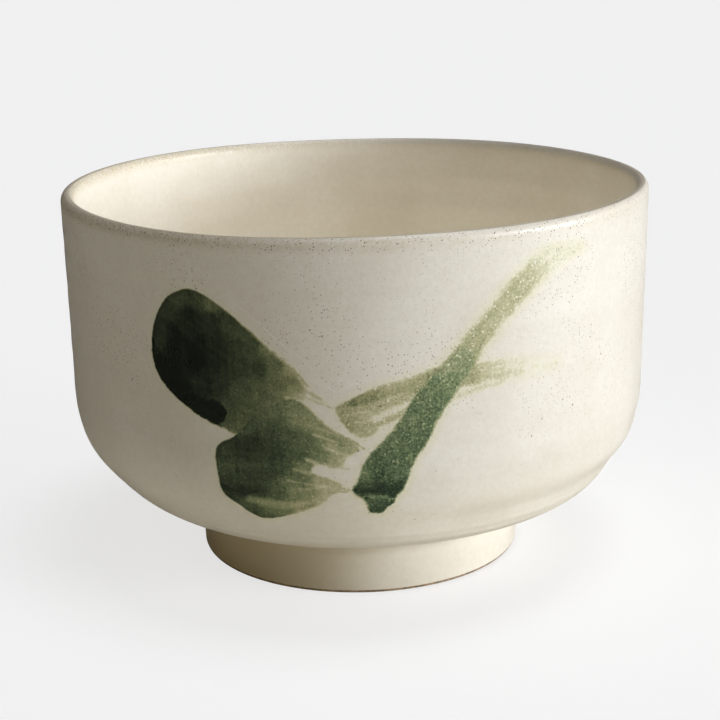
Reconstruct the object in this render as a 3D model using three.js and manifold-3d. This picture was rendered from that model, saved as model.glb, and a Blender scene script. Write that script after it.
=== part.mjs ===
// Matcha bowl: a footed stoneware tea bowl, its glaze coats and its brushed leaf-and-stem decoration.
// Millimetres, +Z up. The origin is the centre of the foot's standing edge, on the surface it rests on.
// The decoration is on the front, which faces -Y.
import * as THREE from 'three';
import { mergeVertices } from 'three/addons/utils/BufferGeometryUtils.js';
import Module from 'manifold-3d';

const wasm = await Module();
wasm.setup();

// Overall form, measured on the glazed surface
const BOWL_HEIGHT = 78;
const RIM_RADIUS = 60;
const LIP_THICKNESS = 2.6;
const WAIST_RADIUS = 59.5; // the wall turns in below this point
const WAIST_HEIGHT = 36;
const HIP_RADIUS = 44.5; // the round of the belly ends here and the flatter underside begins
const HIP_HEIGHT = 14.2;
const UNDERSIDE_SLOPE = 0.295;
const INNER_WAIST_RADIUS = 56.6;
const INNER_WAIST_HEIGHT = 38;
const FLOOR_HEIGHT = 13;
const FLOOR_FLAT_RADIUS = 12;

// Handles of the curves that round the belly and the inner floor
const BELLY_HANDLE_RADIUS = 54;
const WAIST_HANDLE_RADIUS = 59.3;
const WAIST_HANDLE_HEIGHT = 27;
const FLOOR_HANDLE_RADIUS = 44;
const FLOOR_HANDLE_RISE = 1;
const INNER_WAIST_HANDLE_RISE = 8;

// Foot ring
const FOOT_BASE_RADIUS = 33.7;
const FOOT_TOP_RADIUS = 34.1;
const FOOT_TOP_HEIGHT = 10;
const FOOT_FILLET_RADIUS = 36; // where the fillet above the foot meets the underside
const FOOT_WIDTH = 4.9;
const FOOT_TAPER = 0.4; // how far the ring's inner face opens from the well's ceiling to the base
const FOOT_EDGE_CHAMFER = 0.8;
const JOINT_HEIGHT = 6.5; // the luted joint between the foot ring and the bowl's base

// Coats
const GLAZE_THICKNESS = 0.4;
const COAT_GAP = 0.05; // clearance between neighbouring solids
const OUTER_GLAZE_START = 1.2; // bare clay shows below this height on the foot
const WELL_GLAZE_START = 1.5;
const GLAZE_TOP = 77; // bare clay shows above this height on the lip
const PIGMENT_THICKNESS = 0.2;

const SEGMENTS = 64;
const BELLY_STEPS = 7;
const FILLET_STEPS = 3;
const FLOOR_STEPS = 8;
const LIP_STEPS = 4;
const STROKE_STEPS = 40;
const STROKE_DEPTH = 70;

const CLAY_INSET = GLAZE_THICKNESS + COAT_GAP;
const CLAY_LIP_RADIUS = LIP_THICKNESS / 2 - CLAY_INSET;

const clay = { color: 0xa2936f, roughness: 0.9, metalness: 0 };
const glaze = { color: 0xe4dfd0, roughness: 0.45, metalness: 0 };
const darkPigment = { color: 0x1f2c1e, roughness: 0.4, metalness: 0 };
const greenPigment = { color: 0x47603f, roughness: 0.5, metalness: 0 };
const palePigment = { color: 0x8f9468, roughness: 0.5, metalness: 0 };

const group = new THREE.Group();

function addMesh(name, geometry, look) {
  const mesh = new THREE.Mesh(geometry, new THREE.MeshStandardMaterial(look));
  mesh.name = name;
  group.add(mesh);
}

// A profile is a list of (radius, height) points; spinning it about the bowl's axis gives a solid.
function spin(profile) {
  return new THREE.LatheGeometry(profile, SEGMENTS).rotateX(Math.PI / 2);
}

function closed(profile) {
  return [...profile, profile[0].clone()];
}

// Moves an outline sideways, to the right of its direction of travel where distance is positive.
function offset(outline, distance) {
  const last = outline.length - 1;
  return outline.map((point, i) => {
    const before = outline[Math.max(i - 1, 0)].clone();
    const after = outline[Math.min(i + 1, last)].clone();
    const along = after.sub(before).normalize();
    return new THREE.Vector2(point.x + along.y * distance, point.y - along.x * distance);
  });
}

function footRadiusAt(height) {
  const t = height / FOOT_TOP_HEIGHT;
  return THREE.MathUtils.lerp(FOOT_BASE_RADIUS, FOOT_TOP_RADIUS, t);
}

// Heights on the line of the flat underside, which meets the belly's round at the hip
function undersideHeightAt(radius) {
  return HIP_HEIGHT - (HIP_RADIUS - radius) * UNDERSIDE_SLOPE;
}

function curvePoints(curve, steps) {
  return curve.getPoints(steps).slice(1);
}

// The outside surface from a height on the foot up to the end of the glaze below the lip
function outerOutline(startHeight) {
  const start = new THREE.Vector2(footRadiusAt(startHeight), startHeight);
  const footTop = new THREE.Vector2(FOOT_TOP_RADIUS, FOOT_TOP_HEIGHT);
  const underside = new THREE.Vector2(FOOT_FILLET_RADIUS, undersideHeightAt(FOOT_FILLET_RADIUS));
  const corner = new THREE.Vector2(FOOT_TOP_RADIUS, undersideHeightAt(FOOT_TOP_RADIUS));
  const hip = new THREE.Vector2(HIP_RADIUS, HIP_HEIGHT);
  const hipHandle = new THREE.Vector2(BELLY_HANDLE_RADIUS, undersideHeightAt(BELLY_HANDLE_RADIUS));
  const waist = new THREE.Vector2(WAIST_RADIUS, WAIST_HEIGHT);
  const waistHandle = new THREE.Vector2(WAIST_HANDLE_RADIUS, WAIST_HANDLE_HEIGHT);
  const fillet = new THREE.QuadraticBezierCurve(footTop, corner, underside);
  const belly = new THREE.CubicBezierCurve(hip, hipHandle, waistHandle, waist);
  return [
    start,
    footTop,
    ...curvePoints(fillet, FILLET_STEPS),
    hip,
    ...curvePoints(belly, BELLY_STEPS),
    new THREE.Vector2(RIM_RADIUS, GLAZE_TOP),
  ];
}

// The inside surface from the centre of the floor up to the end of the glaze below the lip
function innerOutline() {
  const floorEdge = new THREE.Vector2(FLOOR_FLAT_RADIUS, FLOOR_HEIGHT);
  const floorHandle = new THREE.Vector2(FLOOR_HANDLE_RADIUS, FLOOR_HEIGHT + FLOOR_HANDLE_RISE);
  const handleHeight = FLOOR_HEIGHT + INNER_WAIST_HANDLE_RISE;
  const waistHandle = new THREE.Vector2(INNER_WAIST_RADIUS, handleHeight);
  const waist = new THREE.Vector2(INNER_WAIST_RADIUS, INNER_WAIST_HEIGHT);
  const bowl = new THREE.CubicBezierCurve(floorEdge, floorHandle, waistHandle, waist);
  return [
    new THREE.Vector2(0, FLOOR_HEIGHT),
    floorEdge,
    ...curvePoints(bowl, FLOOR_STEPS),
    new THREE.Vector2(RIM_RADIUS - LIP_THICKNESS, GLAZE_TOP),
  ];
}

// Puts an offset outline's first point back on the axis
function startOnAxis(outline) {
  outline[0].x = 0;
  return outline;
}

function lipArc() {
  const centreRadius = RIM_RADIUS - LIP_THICKNESS / 2;
  const centreHeight = BOWL_HEIGHT - CLAY_LIP_RADIUS;
  const points = [];
  for (let i = 0; i <= LIP_STEPS; i += 1) {
    const angle = (Math.PI * i) / LIP_STEPS;
    const radius = centreRadius + CLAY_LIP_RADIUS * Math.cos(angle);
    points.push(new THREE.Vector2(radius, centreHeight + CLAY_LIP_RADIUS * Math.sin(angle)));
  }
  return points;
}

function makeClayBody() {
  const baseHeight = JOINT_HEIGHT;
  const outside = offset(outerOutline(baseHeight), -CLAY_INSET);
  outside[0].y = baseHeight;
  const inside = startOnAxis(offset(innerOutline(), CLAY_INSET)).reverse();
  return spin([new THREE.Vector2(0, baseHeight), ...outside, ...lipArc(), ...inside]);
}

function wellRadiusAt(height) {
  const t = height / JOINT_HEIGHT;
  return FOOT_BASE_RADIUS - FOOT_WIDTH + FOOT_TAPER * (1 - t);
}

function makeFootRing() {
  const top = JOINT_HEIGHT - COAT_GAP;
  const chamfer = FOOT_EDGE_CHAMFER;
  const outerBase = footRadiusAt(chamfer) - CLAY_INSET;
  return spin(closed([
    new THREE.Vector2(wellRadiusAt(0) + chamfer, 0),
    new THREE.Vector2(outerBase - chamfer, 0),
    new THREE.Vector2(outerBase, chamfer),
    new THREE.Vector2(footRadiusAt(top) - CLAY_INSET, top),
    new THREE.Vector2(wellRadiusAt(top), top),
    new THREE.Vector2(wellRadiusAt(chamfer), chamfer),
  ]));
}

function makeOuterGlaze() {
  const surface = outerOutline(OUTER_GLAZE_START);
  return spin(closed([...surface, ...offset(surface, -GLAZE_THICKNESS).reverse()]));
}

function makeInnerGlaze() {
  const surface = innerOutline();
  const back = startOnAxis(offset(surface, GLAZE_THICKNESS));
  return spin([...back, ...surface.reverse()]);
}

function makeFootWellGlaze() {
  const ceiling = JOINT_HEIGHT - COAT_GAP;
  const underside = ceiling - GLAZE_THICKNESS;
  const edge = wellRadiusAt(WELL_GLAZE_START) - COAT_GAP;
  const corner = wellRadiusAt(ceiling) - COAT_GAP;
  return spin([
    new THREE.Vector2(0, underside),
    new THREE.Vector2(corner - GLAZE_THICKNESS, underside),
    new THREE.Vector2(edge - GLAZE_THICKNESS, WELL_GLAZE_START),
    new THREE.Vector2(edge, WELL_GLAZE_START),
    new THREE.Vector2(corner, ceiling),
    new THREE.Vector2(0, ceiling),
  ]);
}

function toSolid(geometry) {
  const bare = geometry.clone();
  bare.deleteAttribute('normal');
  bare.deleteAttribute('uv');
  const merged = mergeVertices(bare);
  const vertProperties = new Float32Array(merged.attributes.position.array);
  const triVerts = new Uint32Array(merged.index.array);
  return new wasm.Manifold(new wasm.Mesh({ numProp: 3, vertProperties, triVerts }));
}

function toGeometry(solid) {
  const mesh = solid.getMesh();
  const geometry = new THREE.BufferGeometry();
  geometry.setAttribute('position', new THREE.BufferAttribute(mesh.vertProperties, 3));
  geometry.setIndex(new THREE.BufferAttribute(mesh.triVerts, 1));
  geometry.computeVertexNormals();
  return geometry;
}

// A thin coat of pigment just outside the outer glaze, all round the bowl
function makePigmentCoat() {
  const surface = outerOutline(OUTER_GLAZE_START);
  const back = offset(surface, COAT_GAP);
  const front = offset(surface, COAT_GAP + PIGMENT_THICKNESS);
  return toSolid(spin(closed([...front, ...back.reverse()])));
}

const pigmentCoat = makePigmentCoat();

// A stroke is the part of the coat inside an outline drawn on the bowl's front view (x, z).
function makeStroke(outline) {
  const points = outline.map(([x, z]) => new THREE.Vector2(x, z));
  const loop = new THREE.SplineCurve([...points, points[0].clone()]);
  const shape = new THREE.Shape(loop.getPoints(STROKE_STEPS).slice(0, -1));
  const cutter = new THREE.ExtrudeGeometry(shape, { depth: STROKE_DEPTH, bevelEnabled: false });
  cutter.rotateX(Math.PI / 2);
  return toGeometry(pigmentCoat.intersect(toSolid(cutter)));
}

const upperLeaf = [
  [-30.4, 67.6], [-23.6, 64.9], [-17.6, 59.9], [-11.0, 54.8], [-8.1, 49.4], [-12.4, 48.8],
  [-17.0, 46.4], [-24.0, 42.6], [-30.3, 44.9], [-36.2, 49.7], [-37.6, 55.3], [-35.0, 64.0],
];
const lowerLeaf = [
  [-25.1, 39.6], [-22.0, 40.9], [-16.8, 45.4], [-12.2, 47.9], [-7.6, 45.0], [-1.0, 40.4],
  [-2.4, 35.9], [-2.6, 31.1], [-7.5, 27.9], [-17.1, 24.2], [-22.8, 26.9], [-25.6, 31.0],
];
const stem = [
  [-0.9, 31.3], [4.0, 41.0], [9.6, 48.9], [16.8, 56.1], [24.4, 64.7], [34.8, 72.5],
  [40.8, 71.8], [33.0, 66.6], [26.9, 62.2], [22.0, 54.6], [15.4, 45.9], [9.4, 35.2],
  [7.6, 31.2], [3.2, 26.6],
];
const leftBranch = [
  [-3.2, 47.5], [1.8, 50.0], [7.2, 51.9], [11.6, 52.3], [8.0, 48.6], [4.6, 43.9], [-0.1, 41.9],
  [-2.6, 44.2],
];
const rightBranch = [
  [22.6, 53.9], [29.5, 52.9], [34.7, 52.1], [34.4, 50.5], [27.0, 50.5], [20.2, 50.2],
];

addMesh('clay_body', makeClayBody(), clay);
addMesh('foot_ring', makeFootRing(), clay);
addMesh('outer_glaze', makeOuterGlaze(), glaze);
addMesh('inner_glaze', makeInnerGlaze(), glaze);
addMesh('foot_well_glaze', makeFootWellGlaze(), glaze);
addMesh('upper_leaf_stroke', makeStroke(upperLeaf), darkPigment);
addMesh('lower_leaf_stroke', makeStroke(lowerLeaf), darkPigment);
addMesh('stem_stroke', makeStroke(stem), greenPigment);
addMesh('left_branch_stroke', makeStroke(leftBranch), palePigment);
addMesh('right_branch_stroke', makeStroke(rightBranch), palePigment);

export default group;
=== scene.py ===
# Matcha bowl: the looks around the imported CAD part.
# Shapes are worked out in millimetres and handed to Blender in metres, in the CAD's own frame.
import math

import bpy
import numpy as np
from mathutils import Matrix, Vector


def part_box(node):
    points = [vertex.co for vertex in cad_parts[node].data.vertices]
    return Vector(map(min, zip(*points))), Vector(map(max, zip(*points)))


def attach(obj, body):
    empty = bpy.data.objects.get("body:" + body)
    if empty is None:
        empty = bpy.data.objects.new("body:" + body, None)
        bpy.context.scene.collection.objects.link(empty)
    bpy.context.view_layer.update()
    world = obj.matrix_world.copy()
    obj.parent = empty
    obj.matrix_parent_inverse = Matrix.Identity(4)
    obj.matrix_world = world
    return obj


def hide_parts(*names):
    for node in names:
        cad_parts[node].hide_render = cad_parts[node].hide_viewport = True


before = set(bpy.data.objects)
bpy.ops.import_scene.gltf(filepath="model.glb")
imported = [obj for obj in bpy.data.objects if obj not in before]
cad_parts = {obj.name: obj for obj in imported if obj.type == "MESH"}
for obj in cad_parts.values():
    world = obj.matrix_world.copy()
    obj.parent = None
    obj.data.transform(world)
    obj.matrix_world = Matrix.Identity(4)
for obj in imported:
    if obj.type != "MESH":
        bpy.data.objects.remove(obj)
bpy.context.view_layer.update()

MM = 0.001

# --- Sizes in millimetres: what the CAD's boxes show comes from the frame -----------------------------
COAT_GAP = 0.05
GLAZE_THICKNESS = 0.4
RIM_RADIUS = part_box("outer_glaze")[1].x / MM
BOWL_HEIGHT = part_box("clay_body")[1].z / MM
JOINT_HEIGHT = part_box("clay_body")[0].z / MM
FLOOR_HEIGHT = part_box("inner_glaze")[0].z / MM + GLAZE_THICKNESS
WELL_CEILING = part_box("foot_well_glaze")[1].z / MM

LIP_THICKNESS = 2.6
LIP_ROUND_HEIGHT = 1.6
LIP_BARE_ANGLE = math.radians(70)  # the glaze ends this far up each side of the lip's round
WAIST_RADIUS = RIM_RADIUS - 0.5
WAIST_HEIGHT = 36
WAIST_HANDLE = (WAIST_RADIUS - 0.2, WAIST_HEIGHT * 0.75)
HIP_RADIUS = 44.5
HIP_HEIGHT = 14.3
HIP_SLOPE = 0.40
BELLY_HANDLE_RADIUS = 54
FOOT_TOP_RADIUS = 34.1
FOOT_TOP_HEIGHT = 7.5
FOOT_BASE_RADIUS = 33.7
FOOT_FILLET_RADIUS = 38
FOOT_EDGE_ROUND = 0.6
FOOT_WIDTH = 4.9
FOOT_TAPER = 0.4
INNER_WAIST_RADIUS = RIM_RADIUS - 3.4
INNER_WAIST_HEIGHT = 38
INNER_WAIST_HANDLE_RISE = 8
FLOOR_HANDLE_RADIUS = 44
FLOOR_HANDLE_RISE = 1
FLOOR_EDGE_RADIUS = 12
OUTER_GLAZE_START = 0.7
WELL_GLAZE_START = 1.5
WELL_CORNER_RADIUS = 2.5
FEATHER_LENGTH = 1.8  # the coats thin out over this length at their edges
FEATHER_THICKNESS = 0.03

SEGMENTS = 288
OUTSIDE_STEP = 0.4
INSIDE_STEP = 0.6
CLAY_STEP = 1.0
HIDDEN_STEP = 1.5
AXIS_GAP = 0.2  # rows closer to the axis than this give way to one point on it
SHARP_ANGLE = math.radians(40)


# --- Small mathematics ----------------------------------------------------------------------------------
NOISE_SIZE = 256
noise_table = np.random.default_rng(11).random((NOISE_SIZE, NOISE_SIZE))


def smoothstep(low, high, value):
    t = np.clip((value - low) / (high - low), 0, 1)
    return t * t * (3 - 2 * t)


def noise(x, y, shift=0):
    """Smooth value noise from 0 to 1, one lattice cell to a unit."""
    x, y = x + shift * 17.3, y + shift * 9.1
    xi, yi = np.floor(x).astype(int), np.floor(y).astype(int)
    u, v = x - xi, y - yi
    u, v = u * u * (3 - 2 * u), v * v * (3 - 2 * v)
    x0, y0 = xi % NOISE_SIZE, yi % NOISE_SIZE
    x1, y1 = (xi + 1) % NOISE_SIZE, (yi + 1) % NOISE_SIZE
    low = noise_table[x0, y0] * (1 - u) + noise_table[x1, y0] * u
    high = noise_table[x0, y1] * (1 - u) + noise_table[x1, y1] * u
    return low * (1 - v) + high * v


def fractal(x, y, shift=0, octaves=3):
    total, weight = 0, 0
    for i in range(octaves):
        total = total + noise(x * 2**i, y * 2**i, shift + i) / 2**i
        weight += 1 / 2**i
    return total / weight


def bezier(points, steps=60):
    """A quadratic curve for three points, or a cubic for four."""
    p = np.array(points, float)[:, None, :]
    t = np.linspace(0, 1, steps)[:, None]
    while len(p) > 1:
        p = p[:-1] * (1 - t) + p[1:] * t
    return p[0]


def ellipse_arc(centre, radii, start, end, steps=24):
    t = np.linspace(start, end, steps)
    return np.stack([centre[0] + radii[0] * np.cos(t), centre[1] + radii[1] * np.sin(t)], 1)


def spline(points, closed, steps=8):
    """A Catmull-Rom curve through the points."""
    p = np.array(points, float)
    if closed:
        p = np.vstack([p[-1], p, p[0], p[1]])
    else:
        p = np.vstack([2 * p[0] - p[1], p, 2 * p[-1] - p[-2]])
    t = np.arange(steps)[:, None] / steps
    parts = []
    for a, b, c, d in zip(p, p[1:], p[2:], p[3:]):
        bend = (2 * a - 5 * b + 4 * c - d) * t**2 + (3 * b - a - 3 * c + d) * t**3
        parts.append(b + 0.5 * ((c - a) * t + bend))
    parts.append(p[-2:-1])
    return np.vstack(parts)


def lengths(outline):
    return np.concatenate([[0], np.cumsum(np.hypot(*np.diff(outline, axis=0).T))])


def resample(outline, step):
    along = lengths(outline)
    wanted = np.linspace(0, along[-1], int(along[-1] / step) + 2)
    radius = np.interp(wanted, along, outline[:, 0])
    return np.stack([radius, np.interp(wanted, along, outline[:, 1])], 1), wanted


def normals(outline):
    """Unit normals to the right of the direction of travel."""
    along = np.gradient(outline, axis=0)
    along = along / np.linalg.norm(along, axis=1)[:, None]
    return np.stack([along[:, 1], -along[:, 0]], 1)


# --- Outlines (radius, height), walked so that the open side is on the right ----------------------------
def lip_arc(start, end):
    centre = (RIM_RADIUS - LIP_THICKNESS / 2, BOWL_HEIGHT - LIP_ROUND_HEIGHT)
    return ellipse_arc(centre, (LIP_THICKNESS / 2, LIP_ROUND_HEIGHT), start, end)


def underside_height(radius):
    return HIP_HEIGHT - (HIP_RADIUS - radius) * HIP_SLOPE


def foot_radius(height):
    return FOOT_BASE_RADIUS + (FOOT_TOP_RADIUS - FOOT_BASE_RADIUS) * height / FOOT_TOP_HEIGHT


def outer_outline():
    """The outside, from the glaze's edge on the foot up to its edge on the lip."""
    foot_top = (FOOT_TOP_RADIUS, FOOT_TOP_HEIGHT)
    corner = (FOOT_TOP_RADIUS, underside_height(FOOT_TOP_RADIUS))
    underside = (FOOT_FILLET_RADIUS, underside_height(FOOT_FILLET_RADIUS))
    hip = (HIP_RADIUS, HIP_HEIGHT)
    hip_handle = (BELLY_HANDLE_RADIUS, underside_height(BELLY_HANDLE_RADIUS))
    waist = (WAIST_RADIUS, WAIST_HEIGHT)
    return np.vstack([
        [(foot_radius(OUTER_GLAZE_START), OUTER_GLAZE_START)],
        bezier([foot_top, corner, underside], 12),
        bezier([hip, hip_handle, WAIST_HANDLE, waist]),
        lip_arc(0, LIP_BARE_ANGLE),
    ])


def inner_outline():
    """The inside, from the glaze's edge on the lip down to the centre of the floor."""
    waist = (INNER_WAIST_RADIUS, INNER_WAIST_HEIGHT)
    waist_handle = (INNER_WAIST_RADIUS, FLOOR_HEIGHT + INNER_WAIST_HANDLE_RISE)
    floor_handle = (FLOOR_HANDLE_RADIUS, FLOOR_HEIGHT + FLOOR_HANDLE_RISE)
    floor_edge = (FLOOR_EDGE_RADIUS, FLOOR_HEIGHT)
    return np.vstack([
        lip_arc(math.pi - LIP_BARE_ANGLE, math.pi),
        bezier([waist, waist_handle, floor_handle, floor_edge]),
        [(0, FLOOR_HEIGHT)],
    ])


OUTER = outer_outline()
INNER = inner_outline()


# --- The potter's hand: an uneven rim and the marks of throwing and turning ------------------------------
RIM_WAVES = [(1, 0.38, 32), (2, 0.15, -40), (3, 0.08, 30), (5, 0.07, 80)]  # per turn, mm, degrees
RIM_DROP = 0.35  # how far the middle of the waves lies under a regular rim
WAVES_START = 38  # the height from which the wall waves more and more
OVAL = 0.16
OVAL_PHASE = 0.7
OVAL_START, OVAL_FULL = 14, 60  # heights
THROWING_RINGS = [(8.5, 0.025, 0.4), (4.7, 0.012, 2.1), (2.9, 0.006, 4.0)]  # pitch, relief, phase
RINGS_WANDER = 0.8
RINGS_START, RINGS_FULL = 24, 34  # heights
RINGS_FADE, RINGS_END = 73, 76.5
SHOULDER_RINGS = [(27.6, 0.20, 2.0), (31.5, -0.10, 1.7),  # height, relief, half width
                  (22.8, -0.38, 2.1), (18.0, 0.55, 2.6)]
SHOULDER_AZIMUTH = math.radians(75)  # where the shoulder rings are strongest
SHOULDER_LEAST = 0.25  # their share on the other side
LEFT_HOLLOW = (19.5, -0.55, 4.0)  # height, relief, half width
TURNED_LINES = [(19.2, 0.14, 0.34), (20.9, 0.07, 0.30), (11.4, 0.10, 0.6)]  # height, depth, half width
TURNED_LINES_LEAST = 0.35
INNER_PITCH, INNER_RELIEF = 7.0, 0.06  # the spiral inside
INNER_START, INNER_FULL = 15, 22
INNER_FADE, INNER_END = 68, 74
NO_SIDE, OUTSIDE, INSIDE = 0, 1, -1


def bump(value, centre, half_width):
    return np.exp(-(((value - centre) / half_width) ** 2))


def hand_warp(azimuth, radius, height):
    """The whole pot is uneven: its rim waves up and down, and it is a little oval."""
    lift = smoothstep(WAVES_START, BOWL_HEIGHT, height)
    wave = sum(size * np.sin(n * azimuth + math.radians(phase)) for n, size, phase in RIM_WAVES)
    oval = OVAL * np.sin(2 * azimuth + OVAL_PHASE) * smoothstep(OVAL_START, OVAL_FULL, height)
    return radius + oval, height + (wave - RIM_DROP) * lift


def throwing_relief(azimuth, height):
    on_wall = smoothstep(RINGS_START, RINGS_FULL, height) * (1 - smoothstep(RINGS_FADE, RINGS_END, height))
    rings = 0
    for pitch, size, phase in THROWING_RINGS:
        turn = 2 * math.pi * height / pitch + azimuth + phase
        rings = rings + size * np.sin(turn + RINGS_WANDER * np.sin(azimuth + phase))
    return rings * on_wall


def outer_relief(azimuth, height):
    """How far the surface stands out: throwing rings, a turned shoulder, a hollow and fine lines."""
    relief = throwing_relief(azimuth, height)
    right = smoothstep(-0.4, 0.8, np.cos(azimuth - SHOULDER_AZIMUTH))
    right = SHOULDER_LEAST + (1 - SHOULDER_LEAST) * right
    for at, size, width in SHOULDER_RINGS:
        relief = relief + size * right * bump(height, at, width)
    at, size, width = LEFT_HOLLOW
    left = smoothstep(0.3, 1.0, -np.sin(azimuth))
    relief = relief + size * left * bump(height, at, width)
    for at, depth, width in TURNED_LINES:
        fade = noise(azimuth * 3, azimuth * 0 + at, 5)
        fade = TURNED_LINES_LEAST + (1 - TURNED_LINES_LEAST) * fade
        relief = relief - depth * fade * bump(height, at, width)
    return relief


def inner_relief(azimuth, height):
    spiral = INNER_RELIEF * np.sin(2 * math.pi * height / INNER_PITCH + azimuth)
    fade = smoothstep(INNER_START, INNER_FULL, height) * (1 - smoothstep(INNER_FADE, INNER_END, height))
    return spiral * fade


# --- Rows: what a revolved surface is made of ------------------------------------------------------------
# A row is (radius, height, normal's radius, normal's height, surface height, side).
def coat_thickness(along, thin_start, thin_end):
    """Full in the middle of a coat, and thin where it ends."""
    full = np.ones(len(along))
    if thin_start:
        full = full * smoothstep(0, FEATHER_LENGTH, along)
    if thin_end:
        full = full * smoothstep(0, FEATHER_LENGTH, along[-1] - along)
    return FEATHER_THICKNESS + (GLAZE_THICKNESS - FEATHER_THICKNESS) * full


def surface_rows(outline, step, side, layers=0, gap=0, thin_start=True, thin_end=True):
    """Rows along an outline, sunk below it by a number of coat thicknesses and a gap."""
    point, along = resample(outline, step)
    normal = normals(point)
    depth = layers * coat_thickness(along, thin_start, thin_end) + gap
    sunk = point - normal * depth[:, None]
    return np.column_stack([sunk, normal, point[:, 1], np.full(len(point), side)])


def plain_rows(points):
    point = np.array(points, float)
    return np.column_stack([point, normals(point), point[:, 1], np.full(len(point), NO_SIDE)])


def displaced(azimuth, rows):
    radius, height, out, up, level, side = (column[:, None] for column in rows.T)
    relief = np.where(side == OUTSIDE, outer_relief(azimuth, level), 0)
    relief = relief + np.where(side == INSIDE, inner_relief(azimuth, level), 0)
    return hand_warp(azimuth, radius + out * relief, height + up * relief)


def to_points(azimuth, radius, height):
    """Azimuth 0 is the front, -Y, and it grows towards the right, +X."""
    return np.stack(np.broadcast_arrays(radius * np.sin(azimuth), -radius * np.cos(azimuth), height), -1)


# --- Mesh making ------------------------------------------------------------------------------------------
def make_piece(name, points, faces, material, node):
    mesh = bpy.data.meshes.new(name)
    mesh.from_pydata((points * MM).tolist(), [], faces)
    mesh.polygons.foreach_set("use_smooth", [True] * len(mesh.polygons))
    mesh.set_sharp_from_angle(angle=SHARP_ANGLE)
    mesh.materials.append(material)
    piece = bpy.data.objects.new(name, mesh)
    bpy.context.scene.collection.objects.link(piece)
    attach(piece, "root")
    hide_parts(node)
    return piece


def ring_faces(rows, closed):
    """Quads between rings of points, row by row; the last row joins the first if closed."""
    faces = []
    for i in range(rows if closed else rows - 1):
        a = i * SEGMENTS
        b = (i + 1) % rows * SEGMENTS
        for j in range(SEGMENTS):
            k = (j + 1) % SEGMENTS
            faces.append((a + j, a + k, b + k, b + j))
    return faces


def revolve(name, rows, material, node, on_axis):
    """Spins rows into a solid that closes on itself, or on the axis at both ends."""
    rows = np.vstack(rows)
    ends = (rows[0, 1], rows[-1, 1])
    if on_axis:
        rows = rows[rows[:, 0] > AXIS_GAP]
    azimuth = np.linspace(0, 2 * math.pi, SEGMENTS, endpoint=False)[None, :]
    radius, height = displaced(azimuth, rows)
    points = to_points(azimuth, radius, height).reshape(-1, 3)
    faces = ring_faces(len(rows), not on_axis)
    if on_axis:
        low, high = len(points), len(points) + 1
        last = len(points) - SEGMENTS
        points = np.vstack([points, [(0, 0, ends[0])], [(0, 0, ends[1])]])
        for j in range(SEGMENTS):
            k = (j + 1) % SEGMENTS
            faces.append((low, k, j))
            faces.append((last + j, last + k, high))
    return make_piece(name, points, faces, material, node)


# --- The turned pieces ------------------------------------------------------------------------------------
def well_radius(height):
    return FOOT_BASE_RADIUS - FOOT_WIDTH + FOOT_TAPER * (1 - height / JOINT_HEIGHT)


def well_outline():
    """The clay that the foot well's glaze lies on, from the centre of the ceiling down the wall."""
    corner = well_radius(WELL_CEILING) - COAT_GAP
    centre = (corner - WELL_CORNER_RADIUS, WELL_CEILING - WELL_CORNER_RADIUS)
    radii = (WELL_CORNER_RADIUS, WELL_CORNER_RADIUS)
    return np.vstack([
        [(0, WELL_CEILING)],
        ellipse_arc(centre, radii, math.pi / 2, 0, 8),
        [(well_radius(WELL_GLAZE_START) - COAT_GAP, WELL_GLAZE_START)],
    ])


def make_clay_body(material):
    outside = surface_rows(OUTER, CLAY_STEP, OUTSIDE, layers=1, gap=COAT_GAP)
    outside = outside[outside[:, 4] > JOINT_HEIGHT]
    inside = surface_rows(INNER, CLAY_STEP, INSIDE, layers=1, gap=COAT_GAP, thin_end=False)
    crest = lip_arc(LIP_BARE_ANGLE, math.pi - LIP_BARE_ANGLE)
    crest[:, 1] -= FEATHER_THICKNESS + COAT_GAP
    base = plain_rows([(0, JOINT_HEIGHT), (outside[0, 0], JOINT_HEIGHT)])
    rows = [base, outside, plain_rows(crest[1:-1]), inside]
    return revolve("clay_body_fired", rows, material, "clay_body", True)


def make_foot_ring(material):
    top = JOINT_HEIGHT - COAT_GAP
    edge = FOOT_EDGE_ROUND
    outside = surface_rows(OUTER, OUTSIDE_STEP, NO_SIDE, layers=1, gap=COAT_GAP)
    outside = outside[outside[:, 4] < top]
    outer_centre = (outside[0, 0] - edge, edge)
    inner_centre = (well_radius(edge) + edge, edge)
    outer_edge = ellipse_arc(outer_centre, (edge, edge), -math.pi / 2, 0, 8)
    inner_edge = ellipse_arc(inner_centre, (edge, edge), math.pi, 1.5 * math.pi, 8)
    crown = [(outside[-1, 0], top), (well_radius(top), top)]
    rows = [plain_rows(outer_edge), outside, plain_rows(crown), plain_rows(inner_edge)]
    return revolve("foot_ring_fired", rows, material, "foot_ring", False)


def make_outer_glaze(material):
    front = surface_rows(OUTER, OUTSIDE_STEP, OUTSIDE)
    back = surface_rows(OUTER, HIDDEN_STEP, OUTSIDE, layers=1)
    return revolve("outer_glaze_coat", [front, back[::-1]], material, "outer_glaze", False)


def make_inner_glaze(material):
    front = surface_rows(INNER, INSIDE_STEP, INSIDE)
    back = surface_rows(INNER, HIDDEN_STEP, INSIDE, layers=1, thin_end=False)
    return revolve("inner_glaze_coat", [back[::-1], front], material, "inner_glaze", True)


def make_foot_well_glaze(material):
    outline = well_outline()
    front = surface_rows(outline, INSIDE_STEP, NO_SIDE, layers=-1, thin_start=False)
    back = surface_rows(outline, HIDDEN_STEP, NO_SIDE)
    return revolve("foot_well_coat", [front, back[::-1]], material, "foot_well_glaze", True)


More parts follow.
